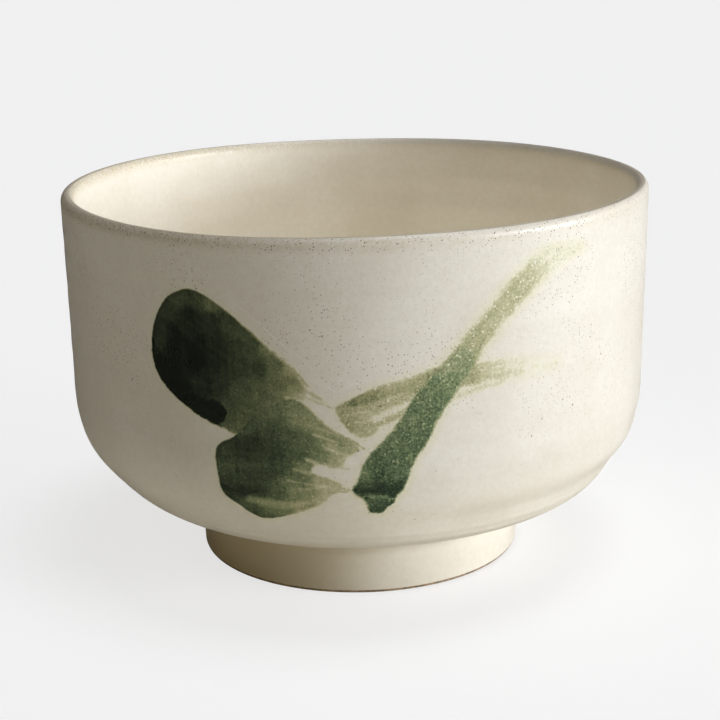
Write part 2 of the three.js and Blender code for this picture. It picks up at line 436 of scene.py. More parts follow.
# --- Brushwork on the front view (x, z in mm) ------------------------------------------------------------
# A stroke is a wash inside an outline, with its strength given at a few places as (x, z, ink from 0 to 1).
# Three kinds of line go over it, each with a half width: pools, where the ink gathered inside the
# outline, and strands, which the brush's hairs drew past it, both with their ink; and gaps, with the
# share of the ink that is missing. Most gaps are thin lines that the hairs left; the wide gap low on
# the lower leaf and the one across the stem's drip are painted reflections in the glossy ink instead.
# The path is the way the brush went. The wash runs dry between the two shares of the path in dry, and
# its edge softens along it as in soft.
STROKES = {
    "upper_leaf": dict(
        outline=[(-30.2, 68.0), (-26.5, 66.9), (-22.6, 64.2), (-18.8, 61.0), (-15.4, 57.8), (-12.0, 54.8),
                 (-10.2, 52.4), (-9.2, 50.0), (-10.2, 47.0), (-16.0, 43.2), (-21.5, 41.4), (-24.8, 42.4),
                 (-28.5, 43.8), (-32.4, 46.2), (-35.6, 49.1), (-37.3, 52.6), (-37.5, 57.5), (-36.4, 62.0),
                 (-34.0, 66.0)],
        tones=[(-32.0, 66.0, 0.70), (-28.5, 66.0, 0.74), (-25.5, 65.6, 0.56), (-34.5, 63.5, 0.82),
               (-30.0, 63.0, 0.96), (-26.0, 62.6, 0.88), (-22.8, 62.2, 0.76), (-20.0, 60.8, 0.66),
               (-36.4, 59.0, 0.82), (-32.5, 59.0, 1.0), (-28.5, 59.0, 1.0), (-25.0, 59.0, 0.90),
               (-21.5, 58.8, 0.80), (-18.5, 58.4, 0.71), (-16.2, 57.8, 0.52), (-33.0, 54.5, 1.0),
               (-29.0, 54.5, 1.0), (-25.0, 54.5, 0.93), (-21.5, 54.0, 0.81), (-17.5, 54.0, 0.74),
               (-14.2, 54.4, 0.55), (-12.2, 53.8, 0.32), (-12.2, 52.2, 0.56), (-36.0, 50.8, 1.0),
               (-33.0, 48.6, 1.0),
               (-28.0, 50.6, 0.95), (-24.6, 50.6, 0.88), (-21.5, 49.6, 0.70), (-17.5, 49.5, 0.62),
               (-14.0, 51.2, 0.60), (-11.4, 50.6, 0.38), (-22.0, 46.2, 0.70), (-18.0, 46.0, 0.66),
               (-14.0, 47.2, 0.52), (-11.4, 46.6, 0.34), (-22.0, 42.8, 0.64), (-10.6, 48.6, 0.22)],
        path=[(-34.5, 61.5), (-27.0, 55.5), (-19.0, 51.0), (-9.5, 48.5)],
        pools=[([(-36.5, 51.5), (-32.6, 47.4), (-28.6, 45.2), (-26.0, 45.0)], 2.5, 0.99),
               ([(-37.4, 58.0), (-37.2, 52.6), (-35.6, 49.1), (-28.5, 43.8), (-25.0, 42.6)], 0.5, 1.0)],
        strands=[([(-12.4, 55.2), (-10.6, 53.4), (-8.8, 51.2)], 0.3, 0.26),
                 ([(-11.0, 51.6), (-8.6, 50.0), (-5.6, 48.2)], 0.35, 0.16),
                 ([(-11.0, 49.8), (-7.5, 48.4), (-4.6, 47.2)], 0.25, 0.12)],
        gaps=[([(-30.0, 50.5), (-27.0, 50.0), (-22.0, 49.2)], 0.5, 0.05),
              ([(-12.6, 48.9), (-9.6, 48.2), (-6.0, 46.6)], 0.35, 0.5)],
        dry=(0.86, 1.2), soft=(0.14, 0.55), streak=0.10, warmth=0.7, halo=0.03, grain=0.5),
    "lower_leaf": dict(
        outline=[(-25.2, 39.2), (-22.4, 40.9), (-18.6, 45.2), (-12.6, 48.8), (-9.4, 47.6), (-7.2, 45.4),
                 (-5.2, 43.6), (-3.2, 42.2), (-1.0, 40.8), (-0.2, 39.3), (-2.2, 38.0), (-2.6, 36.8),
                 (-4.6, 35.8), (-6.2, 36.5), (-7.8, 36.4), (-8.6, 35.2), (-7.2, 34.3), (-4.8, 33.4),
                 (-3.4, 32.4), (-3.6, 31.4), (-5.4, 30.0), (-6.4, 28.9), (-9.0, 27.5), (-12.2, 25.9),
                 (-15.6, 24.6), (-18.2, 24.3), (-20.4, 25.5), (-22.6, 27.3), (-25.1, 29.3), (-25.9, 33.0),
                 (-26.1, 37.0)],
        tones=[(-24.6, 38.0, 0.74), (-20.5, 38.2, 0.84), (-19.0, 40.5, 0.80), (-15.5, 41.8, 0.76),
               (-12.0, 41.5, 0.68), (-9.5, 41.0, 0.60), (-14.5, 38.2, 0.78), (-10.5, 38.2, 0.69),
               (-7.4, 39.0, 0.56), (-6.0, 38.2, 0.50), (-24.8, 34.5, 0.70), (-21.0, 35.4, 0.74),
               (-17.0, 34.6, 0.75), (-14.0, 35.8, 0.74), (-11.6, 34.6, 0.60), (-9.4, 35.6, 0.44),
               (-10.0, 33.6, 0.54), (-7.4, 33.2, 0.24), (-12.5, 32.4, 0.52), (-16.5, 32.2, 0.71),
               (-20.5, 32.2, 0.78), (-24.6, 31.4, 0.78), (-14.6, 30.6, 0.68), (-11.6, 30.6, 0.48),
               (-8.6, 30.6, 0.42), (-5.8, 31.6, 0.18), (-21.0, 30.0, 0.91), (-24.0, 29.6, 0.82),
               (-18.0, 30.2, 0.83), (-16.6, 28.2, 0.60), (-12.6, 28.2, 0.50), (-9.4, 28.6, 0.42),
               (-7.4, 29.4, 0.22), (-20.6, 27.6, 0.64), (-16.4, 26.4, 0.56), (-13.4, 26.4, 0.52),
               (-19.4, 25.8, 0.74), (-16.8, 25.0, 0.72), (-11.0, 27.2, 0.30), (-15.5, 46.0, 0.54),
               (-11.0, 45.2, 0.42), (-8.0, 44.2, 0.42), (-6.0, 42.8, 0.40), (-20.5, 42.8, 0.68),
               (-16.0, 43.4, 0.68), (-3.2, 40.8, 0.44), (-1.4, 39.9, 0.34), (-4.8, 39.4, 0.26),
               (-4.6, 38.0, 0.37), (-3.2, 37.0, 0.20), (-4.8, 36.4, 0.30)],
        path=[(-26.0, 37.5), (-16.0, 37.8), (-8.0, 36.5), (0.5, 33.5)],
        pools=[([(-26.0, 31.2), (-22.5, 30.0), (-18.5, 30.4)], 0.6, 0.90),
               ([(-20.6, 25.4), (-18.2, 24.3), (-15.6, 24.6), (-12.2, 25.9)], 0.35, 0.76)],
        strands=[([(-4.4, 42.6), (-1.6, 41.2), (0.8, 39.6)], 0.25, 0.30),
                 ([(-6.4, 37.5), (-3.8, 36.2), (-1.8, 35.6)], 0.25, 0.16),
                 ([(-7.0, 32.8), (-3.6, 31.9), (-1.0, 31.4)], 0.25, 0.20),
                 ([(-9.0, 30.8), (-5.6, 31.0), (-2.2, 31.2)], 0.2, 0.26)],
        gaps=[([(-9.0, 43.9), (-5.6, 42.8), (-2.4, 41.3)], 0.14, 0.5),
              ([(-8.0, 42.2), (-5.0, 41.2), (-3.8, 40.6)], 0.24, 0.55),
              ([(-6.6, 40.2), (-4.8, 39.3), (-1.8, 38.3)], 0.22, 0.5),
              ([(-9.6, 37.6), (-7.4, 36.6), (-5.0, 35.4)], 0.25, 0.6),
              ([(-11.6, 35.4), (-9.4, 34.9), (-6.8, 34.9)], 0.3, 0.4),
              ([(-13.0, 33.2), (-10.0, 32.7), (-6.0, 32.2)], 0.22, 0.4),
              ([(-12.5, 31.4), (-9.0, 31.6), (-5.4, 32.4)], 0.16, 0.35),
              # Painted reflection: this wide gap lightens a band along the belly, where the glossy ink would
              # mirror the floor.
              ([(-20.0, 28.6), (-14.0, 27.9), (-9.0, 28.8)], 0.8, 0.38)],
        dry=(0.84, 1.2), soft=(0.14, 0.45), streak=0.08, warmth=0.3, halo=0.03, grain=0.6),
    "stem": dict(
        outline=[(-1.3, 31.3), (-0.5, 33.2), (0.6, 36.0), (1.8, 38.2), (4.2, 40.8), (6.2, 43.2),
                 (8.2, 46.2), (11.0, 50.4), (15.0, 54.6), (19.2, 59.4), (23.6, 64.2), (27.8, 68.8),
                 (31.4, 71.6), (34.6, 73.0), (38.6, 72.6), (41.0, 71.9), (38.6, 71.1), (35.6, 69.6),
                 (32.0, 66.6), (28.2, 63.2), (25.0, 59.8), (22.0, 56.2), (20.2, 52.6), (17.4, 49.0),
                 (14.2, 44.6), (12.4, 40.6), (10.0, 37.0), (8.6, 33.4), (7.8, 31.3), (6.7, 30.1),
                 (6.1, 28.6), (4.9, 27.9), (4.3, 26.8), (3.0, 26.4), (1.7, 27.0), (1.3, 28.4),
                 (0.4, 29.6)],
        tones=[(4.0, 31.6, 0.88), (0.5, 31.8, 0.76), (7.0, 31.8, 0.82), (3.2, 29.4, 0.66),
               (3.0, 28.0, 0.74), (3.0, 27.0, 0.82), (4.0, 34.0, 0.70), (0.4, 34.4, 0.56),
               (7.0, 34.5, 0.63), (3.0, 37.0, 0.67), (8.0, 38.0, 0.63), (6.0, 40.5, 0.57),
               (9.0, 40.5, 0.61), (8.0, 44.0, 0.55), (10.0, 46.0, 0.62), (14.0, 48.0, 0.56),
               (13.0, 50.0, 0.53), (17.0, 51.5, 0.52), (16.0, 54.2, 0.38), (19.0, 53.5, 0.42),
               (20.5, 59.0, 0.27), (24.0, 62.5, 0.22), (28.0, 65.5, 0.25), (31.0, 68.6, 0.20),
               (33.0, 70.2, 0.14), (35.0, 71.8, 0.09), (40.0, 71.8, 0.01)],
        path=[(3.6, 27.5), (5.4, 36.0), (9.6, 43.6), (14.0, 49.4), (19.0, 55.0), (24.6, 61.8),
              (31.0, 67.8), (43.0, 73.0)],
        pools=[([(-1.0, 31.5), (3.5, 31.3), (7.6, 31.6)], 0.7, 0.86),
               ([(6.1, 28.6), (4.9, 27.9), (4.3, 26.8), (3.0, 26.4), (1.7, 27.0)], 0.35, 0.84)],
        strands=[],
        # Painted reflection: this gap, with the weaker tone given at (3.2, 29.4), lightens the glassy drip
        # under the stem as if it mirrored the floor.
        gaps=[([(1.8, 30.0), (4.4, 29.9), (6.0, 29.4)], 0.3, 0.2)],
        dry=(2, 3), soft=(0.35, 1.0), streak=0.06, warmth=0.0, halo=0.07, grain=1.0),
    "left_branch": dict(
        outline=[(-3.9, 47.3), (-1.4, 48.8), (1.0, 50.0), (4.0, 51.2), (9.0, 52.4), (15.0, 54.0),
                 (15.0, 50.0), (10.0, 46.8), (6.6, 44.8), (4.0, 43.6), (2.6, 42.4), (0.6, 41.6),
                 (-1.0, 42.4), (-2.4, 43.8), (-3.4, 45.4)],
        tones=[(-1.0, 48.0, 0.50), (1.0, 48.3, 0.43), (2.5, 49.2, 0.44), (4.0, 50.2, 0.34),
               (6.5, 50.4, 0.26), (8.0, 49.0, 0.24), (11.0, 51.3, 0.31), (13.0, 51.6, 0.42),
               (-3.2, 47.0, 0.32), (0.0, 46.8, 0.24), (3.0, 47.1, 0.25), (6.0, 47.6, 0.20),
               (-2.6, 45.6, 0.33), (1.0, 45.9, 0.17), (0.0, 45.0, 0.26), (-2.0, 44.0, 0.34),
               (1.5, 43.8, 0.24), (4.5, 44.4, 0.22), (0.5, 42.4, 0.26), (7.0, 45.2, 0.22)],
        path=[(-3.6, 46.0), (5.0, 48.4), (16.0, 52.0)],
        pools=[([(-2.6, 47.7), (0.5, 48.0), (3.0, 49.0)], 0.35, 0.52)],
        strands=[],
        gaps=[([(-3.7, 47.0), (0.0, 47.3), (4.0, 48.4), (9.0, 49.8)], 0.14, 0.45),
              ([(2.8, 45.1), (5.2, 46.1), (9.0, 47.6)], 0.7, 0.75),
              ([(-1.2, 46.2), (2.2, 46.6), (5.0, 47.2)], 0.16, 0.4),
              ([(-1.6, 44.5), (1.4, 44.8), (4.0, 45.4)], 0.14, 0.5),
              ([(-0.4, 43.3), (2.4, 43.4), (4.6, 44.0)], 0.1, 0.3)],
        dry=(2, 3), soft=(0.35, 0.5), streak=0.14, warmth=0.8, halo=0.05, grain=0.9),
    "right_branch": dict(
        outline=[(17.0, 53.0), (23.0, 53.9), (29.0, 53.5), (35.6, 52.3), (36.4, 50.9), (30.0, 50.3),
                 (24.0, 50.4), (17.0, 50.0)],
        tones=[(19.0, 51.6, 0.30), (24.0, 52.4, 0.15), (28.0, 52.0, 0.09), (32.0, 51.5, 0.05)],
        path=[(17.0, 51.6), (26.0, 52.2), (36.0, 51.4)],
        pools=[],
        strands=[([(15.0, 47.2), (18.0, 48.4), (22.0, 49.4), (26.0, 49.8)], 0.7, 0.09)],
        gaps=[],
        dry=(0.9, 1.3), soft=(0.6, 1.0), streak=0.10, warmth=0.5, halo=0.03, grain=1.0),
}


# How the ink is uneven. Sizes are in mm and strengths in ink.
EDGE_GRAIN = 0.8
EDGE_RAGGEDNESS = 1.3  # in softnesses of the edge
BRISTLE_WIDTH = 0.7
BRISTLE_CHANGES = 3.2  # over the stroke's length
DRY_PATCH_WIDTH = 1.7
DRY_PATCH_WANDER = 0.3
BLOTCH_SIZE, BLOTCH_STRENGTH = 4, 0.08
RUN_WIDTH, RUN_LENGTH, RUN_STRENGTH = 0.45, 5, 0.10  # upright streaks
DARK_EDGE_WIDTH, DARK_EDGE_STRENGTH = 0.4, 0.10  # only where the edge is crisp
HALO_START, HALO_FULL = -2.2, 0.4  # depths of the faint stain round a stroke
TONE_BLEND = 0.8  # keeps a tone from peaking at its own point
POOL_SOFTNESS, POOL_GRAIN, POOL_RAGGEDNESS = 0.35, 1.2, 0.6
HAIR_SOFTNESS, HAIR_GRAIN, HAIR_RAGGEDNESS = 0.2, 0.7, 0.5


def nearest(x, z, line):
    """Distance to a line of points, the share of its length there, and which side (+ is left)."""
    best = np.full(x.shape, 1e9)
    along = np.zeros(x.shape)
    side = np.zeros(x.shape)
    start = 0.0
    for (ax, az), (bx, bz) in zip(line, line[1:]):
        dx, dz = bx - ax, bz - az
        length = math.hypot(dx, dz)
        if length == 0:
            continue
        t = np.clip(((x - ax) * dx + (z - az) * dz) / length**2, 0, 1)
        distance = np.hypot(x - ax - t * dx, z - az - t * dz)
        closer = distance < best
        best = np.where(closer, distance, best)
        along = np.where(closer, start + t * length, along)
        side = np.where(closer, np.sign(dx * (z - az) - dz * (x - ax)), side)
        start += length
    return best, along / start, side


def inside(x, z, loop):
    hit = np.zeros(x.shape, bool)
    for (ax, az), (bx, bz) in zip(loop, loop[1:]):
        crosses = (az > z) != (bz > z)
        with np.errstate(divide="ignore", invalid="ignore"):
            at = ax + (z - az) * (bx - ax) / (bz - az)
        hit ^= crosses & (x < at)
    return hit


def blend_tones(x, z, tones):
    """A smooth field through the strengths given at a few places."""
    total, weight = 0, 0
    for at_x, at_z, ink in tones:
        share = 1 / ((x - at_x) ** 2 + (z - at_z) ** 2 + TONE_BLEND) ** 2
        total = total + share * ink
        weight = weight + share
    return total / weight


def wash_body(x, z, depth, soft, shift):
    """1 inside the outline and 0 outside, with a soft and ragged edge."""
    ragged = (fractal(x / EDGE_GRAIN, z / EDGE_GRAIN, shift) - 0.5) * EDGE_RAGGEDNESS * soft
    return smoothstep(-soft, soft, depth + ragged)


def wash_bared(across, along, bristle, dry, shift):
    """The share that the drying brush leaves bare."""
    patch = (noise(across / DRY_PATCH_WIDTH, along * 2, shift + 3) - 0.5) * DRY_PATCH_WANDER
    dryness = smoothstep(*dry, along + patch)
    return dryness * smoothstep(0.35, 0.62, bristle * 0.8 + 0.3 * dryness)


def wash_blotches(x, z, depth, soft, shift):
    """Clouds, upright streaks and a darker edge, to add to the tone."""
    clouds = (fractal(x / BLOTCH_SIZE, z / BLOTCH_SIZE, shift + 40) - 0.5) * BLOTCH_STRENGTH
    runs = (fractal(x / RUN_WIDTH, z / RUN_LENGTH, shift + 50, 2) - 0.5) * RUN_STRENGTH
    crisp = smoothstep(0.35, 0.2, soft)
    return clouds + runs + DARK_EDGE_STRENGTH * np.exp(-np.maximum(depth, 0) / DARK_EDGE_WIDTH) * crisp


def paint_wash(x, z, stroke, shift):
    """The wash's ink, and how deep each point lies inside the outline."""
    outline = spline(stroke["outline"], True, 6)
    edge, _, _ = nearest(x, z, outline)
    depth = np.where(inside(x, z, outline), edge, -edge)
    away, along, side = nearest(x, z, spline(stroke["path"], False))
    across = away * side
    bristle = fractal(across / BRISTLE_WIDTH, along * BRISTLE_CHANGES, shift + 5, 2)
    soft_low, soft_high = stroke["soft"]
    soft = soft_low + (soft_high - soft_low) * smoothstep(0.15, 0.9, along)
    body = wash_body(x, z, depth, soft, shift)
    body = body * (1 - wash_bared(across, along, bristle, stroke["dry"], shift))
    tone = blend_tones(x, z, stroke["tones"]) + (bristle - 0.5) * stroke["streak"]
    tone = tone + wash_blotches(x, z, depth, soft, shift)
    halo = stroke["halo"] * smoothstep(HALO_START, HALO_FULL, depth)
    return np.maximum(body * tone, halo), depth


def add_pools(x, z, wash, pools):
    """Ink gathered along lines, only where there is already some."""
    wet = smoothstep(0.15, 0.5, wash)
    for line, width, ink in pools:
        away, _, _ = nearest(x, z, spline(line, False, 5))
        away = away + (fractal(x / POOL_GRAIN, z / POOL_GRAIN, 60) - 0.5) * POOL_RAGGEDNESS
        pool = smoothstep(width + POOL_SOFTNESS, width - POOL_SOFTNESS, away)
        wash = np.maximum(wash, ink * wet * pool)
    return wash


def hair_line(x, z, line, width, shift):
    """1 on a line that one of the brush's hairs drew, and how far inside it each point is."""
    away, along, _ = nearest(x, z, spline(line, False, 5))
    ragged = (fractal(x / HAIR_GRAIN, z / HAIR_GRAIN, shift) - 0.5) * HAIR_RAGGEDNESS
    tapered = width * (1 - 0.5 * smoothstep(0.5, 1, along))
    soft = np.maximum(HAIR_SOFTNESS, 0.7 * tapered)
    return smoothstep(tapered + soft, tapered - soft, away + ragged), width - away


def paint(x, z):
    """Ink, warmth and grain at each point, and how deep each point lies in each stroke."""
    ink, warmth, grain = (np.zeros(x.shape) for _ in range(3))
    depths = []
    for shift, stroke in enumerate(STROKES.values()):
        mine, depth = paint_wash(x, z, stroke, 7 * shift + 1)
        mine = add_pools(x, z, mine, stroke["pools"])
        for i, (line, width, strength) in enumerate(stroke["strands"]):
            hair, closeness = hair_line(x, z, line, width, 90 + 5 * shift + i)
            mine = np.maximum(mine, strength * hair)
            depth = np.maximum(depth, closeness)
        for i, (line, width, share) in enumerate(stroke["gaps"]):
            hair, _ = hair_line(x, z, line, width, 130 + 5 * shift + i)
            mine = mine * (1 - share * hair)
        warmth = np.where(mine > ink, stroke["warmth"], warmth)
        grain = np.where(mine > ink, stroke["grain"], grain)
        ink = np.maximum(ink, mine)
        depths.append(depth)
    return np.clip(ink, 0, 1), warmth, grain, np.array(depths)


# --- Brushwork as thin solids on the glaze ---------------------------------------------------------------
PAINT_STEP = 0.2
PAINT_LOW, PAINT_HIGH = 23.0, 76.0
PAINT_SPARE = 1  # the wall is looked up this far below the decoration
PAINT_EDGE = math.radians(53)
PAINT_MARGIN = 2.3  # each solid reaches this far past its stroke
PAINT_LIFT = 0.02
PAINT_BUILD = 0.05  # how much the strongest ink stands up
PAINT_BED = 0.15  # how far a solid reaches down into the glaze


def paint_grid():
    """Points of the outer surface over the whole decoration, as rows for displaced()."""
    surface, _ = resample(OUTER, PAINT_STEP)
    tilt = normals(surface)
    height = np.arange(PAINT_LOW, PAINT_HIGH, PAINT_STEP)
    wall = surface[:, 1] > PAINT_LOW - PAINT_SPARE
    columns = [surface[wall, 0], tilt[wall, 0], tilt[wall, 1]]
    radius, out, up = (np.interp(height, surface[wall, 1], column) for column in columns)
    azimuth = np.arange(-PAINT_EDGE, PAINT_EDGE, PAINT_STEP / RIM_RADIUS)[None, :]
    return azimuth, radius, height, out, up


def solid_from_cells(top, bottom, cells):
    """A closed solid from the cells of a grid: its top, its bottom and a wall round every edge."""
    rows, columns = cells.shape
    number = np.arange((rows + 1) * (columns + 1)).reshape(rows + 1, columns + 1)
    i, j = np.nonzero(cells)
    a, b, c, d = number[i, j], number[i, j + 1], number[i + 1, j + 1], number[i + 1, j]
    count = number.size
    faces = [np.stack([a, b, c, d], 1), np.stack([d, c, b, a], 1) + count]
    padded = np.pad(cells, 1)
    around = {"below": padded[:-2, 1:-1], "right": padded[1:-1, 2:],
              "above": padded[2:, 1:-1], "left": padded[1:-1, :-2]}
    corners = {"below": (a, b), "right": (b, c), "above": (c, d), "left": (d, a)}
    for name, (first, second) in corners.items():
        open_side = ~around[name][i, j]
        p, q = first[open_side], second[open_side]
        faces.append(np.stack([q, p, p + count, q + count], 1))
    faces = np.vstack(faces)
    used, renumbered = np.unique(faces, return_inverse=True)
    points = np.vstack([top.reshape(-1, 3), bottom.reshape(-1, 3)])
    return points[used], renumbered.reshape(faces.shape), used % count


def set_attribute(piece, name, values):
    attribute = piece.data.attributes.new(name, "FLOAT", "POINT")
    attribute.data.foreach_set("value", np.asarray(values, np.float32).ravel())


def make_brushwork(material):
    azimuth, radius, height, out, up = paint_grid()
    x = radius[:, None] * np.sin(azimuth)
    z = np.broadcast_to(height[:, None], x.shape)
    ink, warmth, grain, depths = paint(x, z)

    def layer(offset):
        rows = np.column_stack([radius, height, out, up, height, np.full(len(height), OUTSIDE)])
        r, h = displaced(azimuth, rows)
        return to_points(azimuth, r + out[:, None] * offset, h + up[:, None] * offset)

    top = layer(PAINT_LIFT + PAINT_BUILD * ink)
    bottom = layer(np.full(ink.shape, -PAINT_BED))
    cell_depths = (depths[:, :-1, :-1] + depths[:, 1:, 1:]) / 2
    owner = cell_depths.argmax(0)
    painted = cell_depths.max(0) > -PAINT_MARGIN
    for i, name in enumerate(STROKES):
        points, faces, source = solid_from_cells(top, bottom, painted & (owner == i))
        piece = make_piece(name + "_paint", points, faces.tolist(), material, name + "_stroke")
        set_attribute(piece, "ink", ink.ravel()[source])
        set_attribute(piece, "warmth", warmth.ravel()[source])
        set_attribute(piece, "grain", grain.ravel()[source])


# --- Shader building ---------------------------------------------------------------------------------------
def add(tree, kind, inputs=(), **settings):
    """A shader node. Each input is a name or number with a value, or with an output to link."""
    node = tree.nodes.new("ShaderNode" + kind)
    for key, value in settings.items():
        setattr(node, key, value)
    for key, value in dict(inputs).items():
        if isinstance(value, bpy.types.NodeSocket):
            tree.links.new(value, node.inputs[key])
        else:
            node.inputs[key].default_value = value
    return node


def maths(tree, operation, first, second=0.0):
    return add(tree, "Math", {0: first, 1: second}, operation=operation).outputs[0]


def mix(tree, factor, first, second, blend="MIX"):
    inputs = {0: factor, 6: first, 7: second}
    return add(tree, "Mix", inputs, data_type="RGBA", blend_type=blend).outputs[2]


def spread(tree, value, low, high, to_low=0.0, to_high=1.0):
    """Maps a range of values smoothly on to another."""
    inputs = {0: value, 1: low, 2: high, 3: to_low, 4: to_high}
    return add(tree, "MapRange", inputs, interpolation_type="SMOOTHSTEP").outputs[0]


def noise_at(tree, place, scale, detail=2.0, roughness=0.5):
    inputs = {"Vector": place, "Scale": scale, "Detail": detail, "Roughness": roughness}
    return add(tree, "TexNoise", inputs).outputs["Fac"]


def ramp(tree, value, stops):
    node = add(tree, "ValToRGB", {0: value})
    elements = node.color_ramp.elements
    while len(elements) < len(stops):
        elements.new(0.5)
    for element, (position, colour) in zip(elements, stops):
        element.position = position
        element.color = (*colour, 1)
    return node.outputs[0]


def new_material(name):
    material = bpy.data.materials.new(name)
    material.use_nodes = True
    tree = material.node_tree
    tree.nodes.clear()
    shader = add(tree, "BsdfPrincipled")
    output = add(tree, "OutputMaterial")
    tree.links.new(shader.outputs[0], output.inputs[0])
    place = add(tree, "TexCoord").outputs["Object"]
    place = add(tree, "VectorMath", {0: place, "Scale": 1 / MM}, operation="SCALE").outputs[0]
    return material, tree, shader, place


def bumped(tree, shader, height, depth):
    """Gives the shader a bump whose height runs from 0 to depth millimetres."""
    normal = add(tree, "Bump", {"Strength": 1.0, "Distance": depth * MM, "Height": height})
    tree.links.new(normal.outputs[0], shader.inputs["Normal"])


# --- Materials (colours are linear, distances in millimetres) -----------------------------------------
CREAM = (0.80, 0.765, 0.675, 1)
PALE_CREAM = (0.85, 0.82, 0.74, 1)
BUFF = (0.62, 0.54, 0.40, 1)
# Sand is the glaze's tint under the lip; on the foot it is also painted shade.
SAND = (0.56, 0.47, 0.28, 1)
IRON = (0.16, 0.11, 0.07, 1)
CLAY_PALE = (0.74, 0.67, 0.53, 1)
CLAY_LIGHT = (0.42, 0.31, 0.18, 1)
CLAY_DARK = (0.17, 0.11, 0.055, 1)
# What the pigment lets through at each strength, from a yellow stain to near black
INK_STOPS = [(0, (1, 1, 1)), (0.05, (0.965, 0.975, 0.87)), (0.12, (0.78, 0.80, 0.61)),
             (0.25, (0.60, 0.61, 0.40)), (0.38, (0.43, 0.46, 0.285)), (0.5, (0.285, 0.345, 0.20)),
             (0.6, (0.19, 0.24, 0.138)), (0.7, (0.115, 0.165, 0.094)), (0.8, (0.068, 0.098, 0.06)),
             (0.9, (0.035, 0.055, 0.038)), (1.0, (0.013, 0.024, 0.02))]
COOL_TINT = (0.93, 1.03, 1.0, 1)
WARM_TINT = (1.08, 1.0, 0.92, 1)
# Scattered dots: cells per mm, the largest radius, and the share of the cells that has one
DARK_SPECKS = dict(scale=0.5, radius=0.22, share=0.5)
FAINT_SPECKS = dict(scale=1.8, radius=0.15, share=0.9)
BARE_SPECKS = dict(scale=1.3, radius=0.25, share=0.8)
GRIT = dict(scale=1.2, radius=0.2, share=0.4)
RIM_TINT_START, RIM_TINT_FULL = 74.8, 77.4  # heights
# The foot's tint, partly painted shade, fades in between these heights.
FOOT_TINT_START, FOOT_TINT_FULL = 16.0, 9.0
LIP_CLAY_START, LIP_CLAY_FULL = 60.0, 70.0


def specks(tree, place, scale, radius, share):
    """Dots in some of the cells, from half the radius to the radius in size."""
    cells = add(tree, "TexVoronoi", {"Vector": place, "Scale": scale})
    chance = add(tree, "SeparateColor", {0: cells.outputs["Color"]}).outputs[0]
    chosen = maths(tree, "GREATER_THAN", chance, 1 - share)
    size = spread(tree, chance, 1 - share, 1.0, 0.5 * radius * scale, radius * scale)
    size = maths(tree, "MULTIPLY", chosen, size)
    edge = maths(tree, "SUBTRACT", size, cells.outputs["Distance"])
    return spread(tree, edge, 0.0, 0.04 * scale)


def rim_share(tree, place, height):
    """1 in the band just under the lip, with a wandering lower edge, and 0 below it."""
    wandering = maths(tree, "ADD", height, noise_at(tree, place, 0.35, 3.0))
    return spread(tree, wandering, RIM_TINT_START, RIM_TINT_FULL)


def plain_colour(tree, place, rim):
    """Cream with clouds and sandy under the lip, more so on the left; on the foot a sand tint that is partly
    painted shade.
    """
    cloud = spread(tree, noise_at(tree, place, 0.05, 3.0), 0.35, 0.65)
    colour = mix(tree, cloud, CREAM, PALE_CREAM)
    fine = spread(tree, noise_at(tree, place, 0.8, 4.0, 0.6), 0.2, 0.8, 0.0, 0.22)
    colour = mix(tree, fine, colour, BUFF)
    across, _, height = add(tree, "SeparateXYZ", {0: place}).outputs
    mottled = spread(tree, noise_at(tree, place, 2.2, 3.0, 0.6), 0.40, 0.62, 0.2, 0.6)
    mottled = maths(tree, "MULTIPLY", mottled, spread(tree, across, -45.0, 30.0, 1.3, 0.4))
    colour = mix(tree, maths(tree, "MULTIPLY", rim, mottled), colour, SAND)
    foot = spread(tree, height, FOOT_TINT_START, FOOT_TINT_FULL)
    # Painted shade: the foot's sand tint is strong on the left, the side away from the window, and fades
    # almost out on the lit right; only part of it is the glaze's own colour.
    thin = spread(tree, across, -30.0, 18.0, 0.95, 0.04)
    return mix(tree, maths(tree, "MULTIPLY", foot, thin), colour, SAND)


def with_specks(tree, place, height, rim, colour):
    """Iron specks: a few dark ones, and many faint ones high on the wall and under the lip."""
    patches = spread(tree, noise_at(tree, place, 0.06, 2.0), 0.42, 0.62, 0.25, 1.0)
    patches = maths(tree, "MULTIPLY", patches, spread(tree, height, 16.0, 30.0, 0.1, 1.0))
    dark = maths(tree, "MULTIPLY", specks(tree, place, **DARK_SPECKS), patches)
    colour = mix(tree, maths(tree, "MULTIPLY", dark, 0.85), colour, IRON)
    where = maths(tree, "ADD", patches, rim)
    where = maths(tree, "MULTIPLY", where, spread(tree, height, 34.0, 56.0, 0.25, 1.0))
    faint = maths(tree, "MULTIPLY", specks(tree, place, **FAINT_SPECKS), 0.75)
    return mix(tree, maths(tree, "MULTIPLY", faint, where), colour, IRON)


def glaze_colour(tree, place, speckled):
    height = add(tree, "SeparateXYZ", {0: place}).outputs[2]
    rim = rim_share(tree, place, height)
    colour = plain_colour(tree, place, rim)
    if speckled:
        colour = with_specks(tree, place, height, rim, colour)
    return colour


